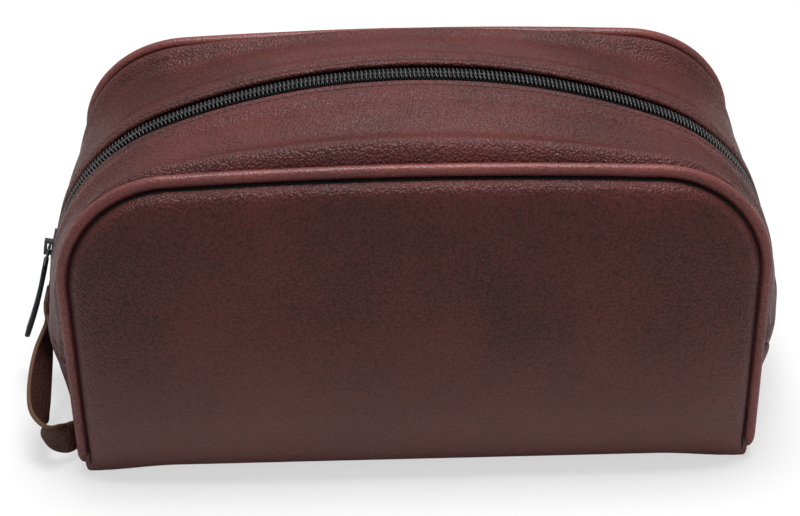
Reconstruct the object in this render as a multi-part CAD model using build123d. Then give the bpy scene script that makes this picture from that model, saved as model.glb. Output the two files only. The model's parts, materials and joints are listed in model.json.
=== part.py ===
from build123d import *
from math import acos, atan2, cos, degrees, hypot, log, pi, radians, sin, sqrt, tan
import os

# Soft leather toiletry bag. Millimetres, +Z up, +X to the right, the front panel faces -Y.
# The origin is the middle of the base, on the surface that the bag stands on.

# Front and back panels: the outline that the piping follows
overall_width = 250.0
base_taper = 0.9
panel_height = 121.5
panel_corner_radius = 41.0
panel_crown_radius = 1560.0
base_corner_radius = 6.5
side_least = 1.0
frame_depth = 117.4
panel_lean = 5.0
panel_bulge = 7.0

# Middle of the bag, where the zip runs
ridge_half_width = 134.0
ridge_height = 131.5
ridge_corner_radius = 72.0
ridge_crown_radius = 234.0
shoulder_distance = 13.0
shoulder_swell = 0.5
side_seam_height = 43.0

# Layers
leather = 1.5
foam = 2.0
lining = 0.4
board = 1.6
board_margin = 8.0
layer_gap = 0.15
edge_tuck = 0.6
base_fold_overlap = 0.6

# Piping
piping_radius = 2.2
piping_cord_radius = 1.15
piping_wall = 0.95
piping_turn_radius = 8.0
seam_allowance = 6.0

# Zip
zip_slot_width = 12.0
tape_width = 24.0
tape_thickness = 0.6
tape_tuck = 9.0
coil_row_width = 2.6
coil_row_gap = 1.2
coil_height = 1.8
stop_length = 2.0
stop_height = 2.2
lining_setback = 3.0

# Slider and its puller
slider_rest_angle = 10.0
slider_travel = 56.0
slider_length = 11.0
slider_width = 9.0
slider_plate = 1.0
slider_web = 0.8
slider_flange = 1.1
slider_clearance = 0.3
bridge_width = 2.0
bridge_length = 6.0
bridge_room = 1.9
bridge_wall = 1.1
link_bar_radius = 0.55
link_width = 6.6
link_length = 7.2
tab_hang_angle = 18.0
tab_width = 8.0
tab_length = 36.0
tab_thickness = 1.9
tab_eye_radius = 1.6
tab_eye_width = 3.6
hinge_clearance = 0.3

# Wrist strap
strap_width = 11.5
strap_thickness = 1.8
strap_y = -12.0
strap_run_gap = 8.2
strap_swing_out = 4.6
strap_leg_gap = 0.15
strap_clearance = 0.4
anchor_height = 9.0

# Joint limits in degrees
puller_limits = (-5.0, 120.0)
tab_limits = (-12.0, 25.0)
strap_limits = (0.0, 95.0)

# Values that follow from the sizes above
piping_half_width = overall_width / 2 - piping_radius
base_half_width = piping_half_width - base_taper
rim_set = piping_radius + layer_gap
edge_clearance = piping_radius + layer_gap
strap_leg_pitch = strap_thickness + strap_leg_gap
anchor_thickness = strap_thickness + strap_leg_pitch
stack_under_strip = leather + layer_gap + tape_thickness + layer_gap
reach = 2 * overall_width


def lerp(a, b, t):
    """Straight blend from a to b."""
    return a + (b - a) * t


def panel_plane(side, inward):
    """Plane of the front (side -1) or back (side +1) piping, moved into the bag by inward."""
    lean = radians(panel_lean)
    up = Vector(0, -side * sin(lean), cos(lean))
    to_front = Vector(1, 0, 0).cross(up)
    start = Vector(0, side * frame_depth / 2, 0) + to_front * (side * inward)
    return Plane(origin=start, x_dir=(1, 0, 0), z_dir=to_front)


def outline_points(half_bottom, bottom, bottom_radius, half_wide, corner_radius, top, crown_radius):
    """Key points of the right half of an outline, as (across, up) pairs in its plane.

    A bottom corner arc, the straight side tangent to it and to the top corner arc, and that
    arc running smoothly into the wide crown arc. The top corner is a fillet between the side
    and the crown, so its radius is no larger than leaves a straight side of side_least."""
    crown_z = top - crown_radius
    low = (half_bottom - bottom_radius, bottom + bottom_radius)

    def corner_centre(radius):
        x = half_wide - radius
        return x, crown_z + sqrt((crown_radius - radius) ** 2 - x ** 2)

    def has_side(radius):
        x, z = corner_centre(radius)
        return (x - low[0]) ** 2 + (z - low[1]) ** 2 > (radius - bottom_radius) ** 2 + side_least ** 2

    if not has_side(corner_radius):
        room, corner_radius = (bottom_radius, corner_radius), bottom_radius
        for _ in range(30):
            corner_radius = (room[0] + room[1]) / 2
            room = (corner_radius, room[1]) if has_side(corner_radius) else (room[0], corner_radius)
        corner_radius = room[0]
    corner_x, corner_z = corner_centre(corner_radius)
    run = (corner_x - low[0], corner_z - low[1])
    side_angle = atan2(run[1], run[0]) - acos((bottom_radius - corner_radius) / hypot(*run))
    crown_angle = atan2(corner_z - crown_z, corner_x)

    def on(centre, radius, angle):
        return (centre[0] + radius * cos(angle), centre[1] + radius * sin(angle))

    corner = (corner_x, corner_z)
    return {
        "base": (low[0], bottom),
        "base_arc": on(low, bottom_radius, (side_angle - pi / 2) / 2),
        "side_low": on(low, bottom_radius, side_angle),
        "side_high": on(corner, corner_radius, side_angle),
        "corner_arc": on(corner, corner_radius, (side_angle + crown_angle) / 2),
        "crown_end": on(corner, corner_radius, crown_angle),
        "crown": (0.0, top),
        "corner": corner,
        "corner_radius": corner_radius,
    }


def closed_outline(plane, *sizes):
    """Closed wire of eight edges in the plane: base, corners, sides and crown."""
    points = outline_points(*sizes)

    def right(name):
        u, v = points[name]
        return plane.from_local_coords((u, v, 0))

    def left(name):
        u, v = points[name]
        return plane.from_local_coords((-u, v, 0))

    return Wire([
        Edge.make_line(left("base"), right("base")),
        Edge.make_three_point_arc(right("base"), right("base_arc"), right("side_low")),
        Edge.make_line(right("side_low"), right("side_high")),
        Edge.make_three_point_arc(right("side_high"), right("corner_arc"), right("crown_end")),
        Edge.make_three_point_arc(right("crown_end"), right("crown"), left("crown_end")),
        Edge.make_three_point_arc(left("crown_end"), left("corner_arc"), left("side_high")),
        Edge.make_line(left("side_high"), left("side_low")),
        Edge.make_three_point_arc(left("side_low"), left("base_arc"), left("base")),
    ])


def panel_outline(plane, inset, lift=0.0, bottom_radius=None):
    """Piping outline drawn in by inset at the sides and top, and raised by lift at the bottom."""
    radius = base_corner_radius if bottom_radius is None else bottom_radius
    return closed_outline(plane, base_half_width - inset, lift, radius, piping_half_width - inset,
                          panel_corner_radius - min(inset, panel_corner_radius / 2),
                          panel_height - inset, panel_crown_radius)


def gusset_outline(plane, swell, depth):
    """Outline of the gusset where it has swelled by the share swell from piping to ridge.

    It lies under the leather's outer face by depth."""
    crown_curve = lerp(1 / panel_crown_radius, 1 / ridge_crown_radius, swell)
    tuck = lerp(edge_tuck, 0.0, swell) + depth
    return closed_outline(plane, base_half_width - tuck, tuck, base_corner_radius - depth,
                          lerp(piping_half_width, ridge_half_width, swell) - tuck,
                          lerp(panel_corner_radius, ridge_corner_radius, swell) - tuck,
                          lerp(panel_height, ridge_height, swell) - tuck, 1 / crown_curve - tuck)


def gusset_body(depth):
    """Solid through the five stations of the gusset, under its outer face by depth."""
    middle = Plane(origin=(0, 0, 0), x_dir=(1, 0, 0), z_dir=(0, -1, 0))
    stations = [
        (panel_plane(-1, rim_set), 0.0),
        (panel_plane(-1, shoulder_distance), shoulder_swell),
        (middle, 1.0),
        (panel_plane(1, shoulder_distance), shoulder_swell),
        (panel_plane(1, rim_set), 0.0),
    ]
    return Solid.make_loft([gusset_outline(plane, swell, depth) for plane, swell in stations])


def gusset_layer(depth, thickness):
    """Open tube of the given thickness, under the gusset's outer face by depth."""
    return gusset_body(depth) - gusset_body(depth + thickness)


def block(x_limits, y_limits, z_limits):
    """Box between the given limits."""
    size = [high - low for low, high in (x_limits, y_limits, z_limits)]
    return Pos(x_limits[0], y_limits[0], z_limits[0]) * Solid.make_box(*size)


def strip_zone(side, near, far=None, low=None):
    """Space above the side seam on the front (-1) or back (+1) side, past near from the middle."""
    floor = side_seam_height + layer_gap if low is None else low
    outer = reach if far is None else far
    limits = (near, outer) if side > 0 else (-outer, -near)
    return block((-reach, reach), limits, (floor, reach))


def end_zone(side):
    """Space below the side seam at the left (-1) or right (+1) end, above the base piping."""
    limits = (0.0, reach) if side > 0 else (-reach, 0.0)
    low = 2 * piping_radius + layer_gap
    return block(limits, (-reach, reach), (low, side_seam_height - layer_gap))


def panel_dome(side, depth):
    """Closed domed body of a panel, its face under the leather's outer face by depth."""
    stations = [
        (0.0, edge_tuck, 0.0, base_corner_radius),
        (0.55 * panel_bulge, 9.0, 4.0, base_corner_radius),
        (0.88 * panel_bulge, 21.0, 12.0, base_corner_radius),
        (panel_bulge, 36.0, 30.0, base_corner_radius),
    ]
    wires = []
    for rise, inset, lift, radius in stations:
        plane = panel_plane(side, depth - rim_set - rise)
        wires.append(panel_outline(plane, inset, lift, radius))
    return Solid.make_loft(wires)


def panel_layer(side, depth, thickness):
    """Layer of a panel in front of its rim plane."""
    rim = panel_plane(side, -rim_set)
    outward = Plane(origin=rim.origin, x_dir=(1, 0, 0), z_dir=rim.z_dir * -side)
    room = outward.location * (Pos(-reach, -reach, 0) * Solid.make_box(2 * reach, 2 * reach, reach))
    return (panel_dome(side, depth) - panel_dome(side, depth + thickness)) & room


def build_panel(side):
    """Leather panel: the domed face and its half of the base, in one piece."""
    half_width = base_half_width - edge_clearance
    fold = frame_depth / 2 + rim_set + base_fold_overlap
    y_limits = (layer_gap / 2, fold) if side > 0 else (-fold, -layer_gap / 2)
    half_base = block((-half_width, half_width), y_limits, (0.0, leather))
    outer_corners = half_base.edges().filter_by(Axis.Z).group_by(Axis.Y)[-1 if side > 0 else 0]
    return panel_layer(side, 0.0, leather) + half_base.fillet(base_corner_radius, outer_corners)


def build_padding(side):
    above_base = block((-reach, reach), (-reach, reach), (leather + layer_gap, reach))
    return panel_layer(side, leather + layer_gap, foam) & above_base


def build_panel_lining(side):
    return panel_layer(side, leather + foam + 2 * layer_gap, lining)


def piping_path(side):
    """Route of the piping: along the base, round the front corner, up, over and down again."""
    plane = panel_plane(side, 0.0)
    points = outline_points(base_half_width, 0.0, base_corner_radius, piping_half_width,
                            panel_corner_radius, panel_height, panel_crown_radius)

    def on_plane(name, mirror):
        u, v = points[name]
        return plane.from_local_coords((mirror * u, v, 0))

    def low_end(mirror):
        """Start of the run at the middle of the base, the turn's ends and its middle."""
        high = on_plane("side_high", mirror)
        low = on_plane("side_low", mirror)
        rise = (high - low).normalized()
        foot = low - rise * ((low.Z - piping_radius) / rise.Z)
        run = Vector(0, -side, 0)
        trim = piping_turn_radius * tan(radians(rise.get_angle(run * -1)) / 2)
        arc_from = foot + run * trim
        arc_to = foot + rise * trim
        bisector = (rise + run).normalized()
        half_turn = radians(rise.get_angle(run * -1)) / 2
        centre = foot + bisector * (piping_turn_radius / cos(half_turn))
        arc_mid = centre - bisector * piping_turn_radius
        start = Vector(foot.X, side * layer_gap / 2, foot.Z)
        return start, arc_from, arc_mid, arc_to

    start, turn_from, turn_mid, turn_to = low_end(-1)
    edges = [
        Edge.make_line(start, turn_from),
        Edge.make_three_point_arc(turn_from, turn_mid, turn_to),
        Edge.make_line(turn_to, on_plane("side_high", -1)),
        Edge.make_three_point_arc(on_plane("side_high", -1), on_plane("corner_arc", -1),
                                  on_plane("crown_end", -1)),
        Edge.make_three_point_arc(on_plane("crown_end", -1), on_plane("crown", 1),
                                  on_plane("crown_end", 1)),
        Edge.make_three_point_arc(on_plane("crown_end", 1), on_plane("corner_arc", 1),
                                  on_plane("side_high", 1)),
    ]
    end, turn_from, turn_mid, turn_to = low_end(1)
    edges += [
        Edge.make_line(on_plane("side_high", 1), turn_to),
        Edge.make_three_point_arc(turn_to, turn_mid, turn_from),
        Edge.make_line(turn_from, end),
    ]
    return Wire(edges)


def along_piping(side, radius):
    """Round bar along the piping route."""
    path = piping_path(side)
    section = Plane(origin=path @ 0, z_dir=path % 0) * Circle(radius)
    return sweep(section, path=path)


def build_piping(side):
    return along_piping(side, piping_radius) - along_piping(side, piping_radius - piping_wall)


def build_piping_cord(side):
    return along_piping(side, piping_cord_radius)


def build_seam_binding(side):
    """Bound seam allowance behind the piping, along the sides and the top of a panel."""
    half_thick = rim_set - layer_gap

    def core(inset):
        wires = [panel_outline(panel_plane(side, shift), inset) for shift in (-half_thick, half_thick)]
        return Solid.make_loft(wires, ruled=True)

    floor = 2 * piping_radius + layer_gap
    ring = core(edge_clearance) - core(edge_clearance + seam_allowance)
    return ring & block((-reach, reach), (-reach, reach), (floor, reach))


def build_zip_gusset(side):
    return gusset_layer(0.0, leather) & strip_zone(side, zip_slot_width / 2)


def build_end_panel(side):
    """End leather below the side seam, cut clear of the piping where that turns under the base."""
    panel = gusset_layer(0.0, leather) & end_zone(side)
    for piped_side in (-1, 1):
        panel -= along_piping(piped_side, piping_radius + layer_gap)
    return panel


def build_zip_tape(side):
    low = side_seam_height - tape_tuck
    zone = strip_zone(side, coil_row_gap / 2, tape_width / 2, low)
    return gusset_layer(leather + layer_gap, tape_thickness) & zone


def build_gusset_lining(side):
    near = zip_slot_width / 2 + lining_setback
    return gusset_layer(stack_under_strip, lining) & strip_zone(side, near)


def build_end_lining(side):
    return gusset_layer(stack_under_strip, lining) & end_zone(side)


def ridge_outline(y, depth):
    """Ridge outline at the given depth under the leather's outer face, moved to y."""
    plane = Plane(origin=(0, y, 0), x_dir=(1, 0, 0), z_dir=(0, -1, 0))
    return gusset_outline(plane, 1.0, depth)


def along_ridge(high_depth, low_depth, y_limits):
    """Band along the ridge between two depths and two values of y."""
    outer = Solid.make_loft([ridge_outline(y, high_depth) for y in y_limits], ruled=True)
    inner = Solid.make_loft([ridge_outline(y, low_depth) for y in y_limits], ruled=True)
    return outer - inner


tape_top = leather
coil_top = tape_top - coil_height


def build_zip_coil(side):
    near = side * coil_row_gap / 2
    far = side * (coil_row_gap / 2 + coil_row_width)
    band = along_ridge(coil_top, tape_top, sorted((near, far)))
    low = side_seam_height + stop_height + layer_gap
    return band & block((-reach, reach), (-reach, reach), (low, reach))


def build_stop(x_side, y_side):
    """Metal stop clamped on the end of one coil row."""
    near = y_side * coil_row_gap / 2
    far = y_side * (coil_row_gap / 2 + coil_row_width)
    band = along_ridge(coil_top, tape_top, sorted((near, far)))
    x_limits = (0.0, reach) if x_side > 0 else (-reach, 0.0)
    high = side_seam_height + stop_height
    return band & block(x_limits, (-reach, reach), (high - stop_length, high))


def ridge_centre():
    """Centre of the left corner arc of the ridge, as (x, z)."""
    corner_x = ridge_half_width - ridge_corner_radius
    crown_z = ridge_height - ridge_crown_radius
    corner_z = crown_z + sqrt((ridge_crown_radius - ridge_corner_radius) ** 2 - corner_x ** 2)
    return (-corner_x, corner_z)


def polar(radius, angle, y=0.0):
    """Point about the corner centre, the angle in degrees upwards from straight left."""
    x, z = ridge_centre()
    return Vector(x - radius * cos(radians(angle)), y, z + radius * sin(radians(angle)))


def sector(radii, angles, y_limits):
    """Curved block about the corner centre, between two radii, two angles and two y values."""
    middle = sum(angles) / 2

    def wire(y):
        a, b = angles
        low, high = radii
        return Wire([
            Edge.make_three_point_arc(polar(low, a, y), polar(low, middle, y), polar(low, b, y)),
            Edge.make_line(polar(low, b, y), polar(high, b, y)),
            Edge.make_three_point_arc(polar(high, b, y), polar(high, middle, y), polar(high, a, y)),
            Edge.make_line(polar(high, a, y), polar(low, a, y)),
        ])

    return Solid.make_loft([wire(y) for y in y_limits], ruled=True)


def swing(length, radius=ridge_corner_radius):
    """Angle in degrees that a length takes along the arc."""
    return degrees(length / radius)


plate_bottom = ridge_corner_radius - coil_top + slider_clearance
plate_top = plate_bottom + slider_plate
tape_bottom = ridge_corner_radius - leather - layer_gap - tape_thickness
under_top = tape_bottom - slider_clearance
under_bottom = under_top - slider_plate


def slider_angles(length):
    half = swing(length) / 2
    return (slider_rest_angle - half, slider_rest_angle + half)


def build_slider_body():
    """Top and bottom plates joined by the divider web, with flanges beside the coils."""
    half = slider_width / 2
    angles = slider_angles(slider_length)
    top = sector((plate_bottom, plate_top), angles, (-half, half))
    bottom = sector((under_bottom, under_top), angles, (-half, half))
    web_angles = slider_angles(slider_length * 0.5)
    web = sector((under_top - 0.2, plate_bottom + 0.2), web_angles, (-slider_web / 2, slider_web / 2))
    flange_low = ridge_corner_radius - leather + slider_clearance
    body = top + bottom + web
    for side in (-1, 1):
        limits = sorted((side * half, side * (half - slider_flange)))
        body += sector((flange_low, plate_bottom + 0.2), angles, limits)
    return body


def build_slider_bridge():
    """Small arch on the slider's top plate that the link hangs from."""
    half = bridge_width / 2
    high = plate_top + bridge_room + bridge_wall
    outer = sector((plate_top, high), slider_angles(bridge_length), (-half, half))
    room = slider_angles(bridge_length - 2 * bridge_wall)
    hole = sector((plate_top - 1, plate_top + bridge_room), room, (-half - 1, half + 1))
    return outer - hole


def puller_frame():
    """Frame of the hanging link: X runs down the puller, Y across it, Z away from the bag."""
    pivot = polar(plate_top + bridge_room / 2, slider_rest_angle)
    hang = radians(tab_hang_angle)
    down = Vector(-sin(hang), 0, -cos(hang))
    out = Vector(-cos(hang), 0, sin(hang))
    return Plane(origin=pivot, x_dir=down, z_dir=out)


def build_puller_link():
    """Rectangular wire ring through the bridge."""
    half = link_width / 2 - link_bar_radius
    corners = [(0, -half), (0, half), (link_length, half), (link_length, -half)]
    frame = puller_frame()
    route = FilletPolyline(*[frame.from_local_coords((x, y, 0)) for x, y in corners],
                           radius=link_bar_radius * 1.6, close=True)
    section = Plane(origin=route @ 0, z_dir=route % 0) * Circle(link_bar_radius)
    return sweep(section, path=route)


def build_pull_tab():
    """Flat leather tab, folded round the link's lower bar, with a rounded tip."""
    frame = puller_frame()
    half = tab_width / 2
    start = link_length + tab_eye_radius * 0.6
    end = link_length + tab_length
    strip = Pos(start, -half, -tab_thickness / 2) * Solid.make_box(end - half - start, tab_width, tab_thickness)
    tip = Pos(end - half, 0, -tab_thickness / 2) * Solid.make_cylinder(half, tab_thickness)
    neck_length = 2 * tab_eye_radius
    neck = Pos(link_length, -tab_eye_width / 2, -tab_thickness / 2) * Solid.make_box(
        neck_length, tab_eye_width, tab_thickness)
    across = Plane(origin=(link_length, -tab_eye_width / 2, 0), x_dir=(1, 0, 0), z_dir=(0, 1, 0))
    eye = Solid.make_cylinder(tab_eye_radius, tab_eye_width, plane=across)
    bore = Solid.make_cylinder(link_bar_radius + hinge_clearance, tab_eye_width, plane=across)
    side_room = Pos(link_length - 2, -half - 1, -3) * Solid.make_box(
        2 + link_bar_radius + hinge_clearance, tab_width + 2, 6)
    shoulders = side_room - Pos(link_length - 3, -tab_eye_width / 2, -3) * Solid.make_box(8, tab_eye_width, 6)
    tab = ((strip + tip) - shoulders) + neck + eye - bore
    return frame.location * tab


def gusset_swell(y):
    """Share of the swell from piping to ridge that the gusset has reached at y."""
    end = frame_depth / 2 - rim_set
    shoulder = frame_depth / 2 - shoulder_distance
    power = log(1 - shoulder_swell) / log(shoulder / end)
    return 1 - (abs(y) / end) ** power


def surface_x(y, z):
    """Distance from the middle of the bag to the end panel's outer face at y and z."""
    swell = gusset_swell(y)
    points = outline_points(base_half_width, 0.0, base_corner_radius,
                            lerp(piping_half_width, ridge_half_width, swell),
                            lerp(panel_corner_radius, ridge_corner_radius, swell),
                            lerp(panel_height, ridge_height, swell),
                            1 / lerp(1 / panel_crown_radius, 1 / ridge_crown_radius, swell))
    (x0, z0), (x1, z1) = points["side_low"], points["side_high"]
    if z > z1:
        corner_x, corner_z = points["corner"]
        return corner_x + sqrt(points["corner_radius"] ** 2 - (z - corner_z) ** 2)
    return x0 + (x1 - x0) * (z - z0) / (z1 - z0)


def strap_stations():
    """Middle points of the strap and the direction across it, from the outer leg round to the inner.

    Both legs hang from the side seam. The loop falls forwards, turning as it goes, until its
    lower run stands on edge near the front corner, and the inner leg returns along the end."""
    top = side_seam_height - anchor_height / 2 - strap_clearance
    run_y = -(frame_depth / 2 - strap_run_gap)

    def beside(y, z, reach_y, reach_z):
        """Point at y and z whose strap lies on the end panel, with its edges the given reach away."""
        wall = surface_x(min(y + reach_y * strap_width / 2, 0.0), z + reach_z * strap_width / 2)
        return (-(wall + strap_clearance + strap_thickness / 2), y, z)

    def out_from(point, distance):
        return (point[0] - distance, point[1], point[2])

    sewn = beside(strap_y, top, 1.0, 0.0)
    wide_x = sewn[0] - strap_swing_out
    return [
        (out_from(sewn, strap_leg_pitch), (0.0, 1.0, 0.0)),
        ((wide_x + 1.6, strap_y - 3.0, top - 6.2), (0.12, 0.88, -0.46)),
        ((wide_x + 0.4, strap_y - 10.0, top - 11.8), (0.4, 0.5, -0.77)),
        ((wide_x, strap_y - 19.0, top - 15.2), (0.55, 0.36, -0.75)),
        ((wide_x + 0.1, run_y + 11.0, top - 18.4), (0.58, 0.38, -0.72)),
        ((wide_x + 0.6, run_y + 5.0, top - 21.4), (0.45, 0.5, -0.74)),
        ((wide_x + 2.3, run_y + 1.4, top - 23.4), (0.25, 0.4, -0.88)),
        ((wide_x + 5.0, run_y + 0.2, top - 26.2), (0.1, 0.05, -0.99)),
        ((wide_x + 8.4, run_y - 0.2, top - 28.4), (0.0, -0.3, -0.95)),
        ((wide_x + 11.6, run_y + 0.8, top - 29.2), (0.0, -0.35, -0.94)),
        (beside(run_y + 5.2, top - 28.4, 0.3, 1.0), (0.0, -0.1, -1.0)),
        (beside(run_y + 13.5, top - 24.3, 0.4, 0.95), (0.0, 0.3, -0.95)),
        (beside(strap_y - 13.0, top - 16.0, 0.55, 0.85), (0.0, 0.55, -0.83)),
        (beside(strap_y - 3.6, top - 7.4, 0.9, 0.45), (0.0, 0.88, -0.47)),
        (sewn, (0.0, 1.0, 0.0)),
    ]


def build_wrist_strap():
    """Flat strap bent into a hanging loop, through a rectangle at each station."""
    stations = strap_stations()
    points = [Vector(*point) for point, across in stations]
    wires = []
    for index, (point, across) in enumerate(stations):
        before = points[max(index - 1, 0)]
        after = points[min(index + 1, len(points) - 1)]
        along = (after - before).normalized()
        if index == 0:
            along = Vector(0, 0, -1)
        if index == len(points) - 1:
            along = Vector(0, 0, 1)
        wide = Vector(*across)
        wide = (wide - along * wide.dot(along)).normalized()
        plane = Plane(origin=points[index], x_dir=wide, z_dir=along)
        half_w = strap_width / 2
        half_t = strap_thickness / 2
        corners = [(-half_w, -half_t), (half_w, -half_t), (half_w, half_t), (-half_w, half_t)]
        wires.append(Wire.make_polygon([plane.from_local_coords((u, v, 0)) for u, v in corners]))
    return Solid.make_loft(wires, ruled=True)


def build_strap_anchor():
    """Sewn end of the strap, lying on the leather over the side seam."""
    low = side_seam_height - anchor_height / 2
    y_limits = (strap_y - strap_width / 2, strap_y + strap_width / 2)
    patch = gusset_layer(-layer_gap - anchor_thickness, anchor_thickness)
    return patch & block((-reach, 0), y_limits, (low, low + anchor_height))


def build_base_board():
    margin = board_margin
    half_width = base_half_width - edge_clearance - margin
    half_depth = frame_depth / 2 - margin
    low = leather + layer_gap
    return block((-half_width, half_width), (-half_depth, half_depth), (low, low + board))


def build_base_lining():
    margin = seam_allowance
    half_width = base_half_width - edge_clearance - margin
    half_depth = frame_depth / 2 - rim_set - margin / 2
    low = leather + board + 2 * layer_gap
    return block((-half_width, half_width), (-half_depth, half_depth), (low, low + lining))


def build_all():
    sides = (("front", -1), ("back", 1))
    ends = (("left", -1), ("right", 1))
    parts = {}
    for name, side in sides:
        parts[f"{name}_panel"] = build_panel(side)
        parts[f"{name}_padding"] = build_padding(side)
        parts[f"{name}_lining"] = build_panel_lining(side)
        parts[f"{name}_piping"] = build_piping(side)
        parts[f"{name}_piping_cord"] = build_piping_cord(side)
        parts[f"{name}_seam_binding"] = build_seam_binding(side)
        parts[f"{name}_zip_gusset"] = build_zip_gusset(side)
        parts[f"{name}_gusset_lining"] = build_gusset_lining(side)
        parts[f"{name}_zip_tape"] = build_zip_tape(side)
        parts[f"{name}_zip_coil"] = build_zip_coil(side)
    for name, side in ends:
        parts[f"{name}_end_panel"] = build_end_panel(side)
        parts[f"{name}_end_lining"] = build_end_lining(side)
        parts[f"{name}_zip_stops"] = Compound(children=[build_stop(side, y) for y in (-1, 1)])
    parts["base_board"] = build_base_board()
    parts["base_lining"] = build_base_lining()
    parts["slider_body"] = build_slider_body()
    parts["slider_bridge"] = build_slider_bridge()
    parts["puller_link"] = build_puller_link()
    parts["pull_tab"] = build_pull_tab()
    parts["wrist_strap"] = build_wrist_strap()
    parts["strap_anchor"] = build_strap_anchor()
    return parts


def main():
    os.makedirs("parts", exist_ok=True)
    for node, shape in build_all().items():
        export_step(shape, f"parts/{node}.step")

    centre_x, centre_z = ridge_centre()
    pivot = puller_frame().origin
    tab_pivot = puller_frame().from_local_coords((link_length, 0, 0))
    print("slider travel about", round(centre_x, 3), round(centre_z, 3), "range", 0, slider_travel)
    print("puller pivot", tuple(round(v, 3) for v in pivot), "range", puller_limits)
    print("tab pivot", tuple(round(v, 3) for v in tab_pivot), "range", tab_limits)
    print("strap pivot", round(strap_stations()[0][0][0], 3), round(side_seam_height, 3), "range", strap_limits)


if __name__ == "__main__":
    main()
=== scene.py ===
# %% [markdown]
# A soft leather toiletry bag with piped front and back panels and a zip that arches over the top.
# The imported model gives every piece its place; this file gives each one its skin. The bag's
# leather, pipings, zip and strap are surfaces worked out with numpy, and the finishes are node
# materials. Lengths below are in millimetres and become metres when a mesh is made.

# %% Load the frame
import bpy
import json
import math
import numpy as np
from mathutils import Matrix, Vector


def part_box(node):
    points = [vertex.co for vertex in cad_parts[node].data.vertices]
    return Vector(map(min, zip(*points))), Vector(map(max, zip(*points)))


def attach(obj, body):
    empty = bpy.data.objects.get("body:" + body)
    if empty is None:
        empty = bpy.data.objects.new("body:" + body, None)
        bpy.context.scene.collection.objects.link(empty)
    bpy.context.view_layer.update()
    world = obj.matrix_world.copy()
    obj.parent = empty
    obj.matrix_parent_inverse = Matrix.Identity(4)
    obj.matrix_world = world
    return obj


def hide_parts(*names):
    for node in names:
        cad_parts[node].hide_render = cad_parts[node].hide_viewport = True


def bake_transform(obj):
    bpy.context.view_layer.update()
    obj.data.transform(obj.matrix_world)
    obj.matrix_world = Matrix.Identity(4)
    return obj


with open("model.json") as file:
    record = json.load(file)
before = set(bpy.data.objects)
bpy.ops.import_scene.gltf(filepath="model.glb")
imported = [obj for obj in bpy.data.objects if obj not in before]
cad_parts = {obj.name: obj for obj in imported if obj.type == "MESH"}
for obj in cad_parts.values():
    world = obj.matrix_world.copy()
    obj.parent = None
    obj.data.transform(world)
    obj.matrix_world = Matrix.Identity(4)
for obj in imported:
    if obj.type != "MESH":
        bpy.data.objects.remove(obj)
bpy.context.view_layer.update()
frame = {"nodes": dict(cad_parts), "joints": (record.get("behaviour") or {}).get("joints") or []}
MM = 0.001
NODES = frame["nodes"]
JOINTS = {joint["name"]: joint for joint in frame["joints"]}


def cad_box(node):
    """Low and high corner of a CAD node in millimetres."""
    low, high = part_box(node)
    return np.array(low) / MM, np.array(high) / MM


# %% [markdown]
# The bag has two outlines. The pipings follow a D shape with a nearly flat crown. The zip runs
# over the middle, where the bag is fuller and rounder. Both are a straight side, a corner arc
# and a crown arc, so one formula serves, and the leather between them is a blend of the two.
#
# Known fault: near the zip the corner arc starts at a height of 17 mm, below the side seam. There
# u = 0..1 runs straight down from the seam and the arc comes back up, so the strips, coils and
# stitches lie double under the seam, and the end pieces stand up to 5.4 mm too far out. The mend
# is to start the arc at start_z there, and to take the end pieces from the arc.

# %% Driving sizes
PIPING_R = 2.2
PIPING_HALF = cad_box("front_piping")[1][0] - PIPING_R
BASE_HALF = PIPING_HALF - 0.9
PANEL_TOP = 121.5
PANEL_CORNER_R = 41.0
PANEL_CROWN_R = 1560.0
BASE_CORNER_R = 6.5
FRAME_DEPTH = 117.4
LEAN = math.radians(5.0)
RIDGE_HALF = 134.0
RIDGE_TOP = 131.5
RIDGE_CORNER_R = 72.0
RIDGE_CROWN_R = 234.0
SEAM_Z = 43.0
LEATHER = 1.5
RIM_SET = PIPING_R + 0.15
SLOT_HALF = 6.0
SWELL_POWER = 3.3


def smooth(x, low, high):
    """Smoothstep: 0 below low, 1 above high, and an S curve between."""
    t = np.clip((x - low) / (high - low), 0.0, 1.0)
    return t * t * (3.0 - 2.0 * t)


def bell(x, centre, width):
    """Gaussian bump of height 1 at centre."""
    return np.exp(-(((x - centre) / width) ** 2))


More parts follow.
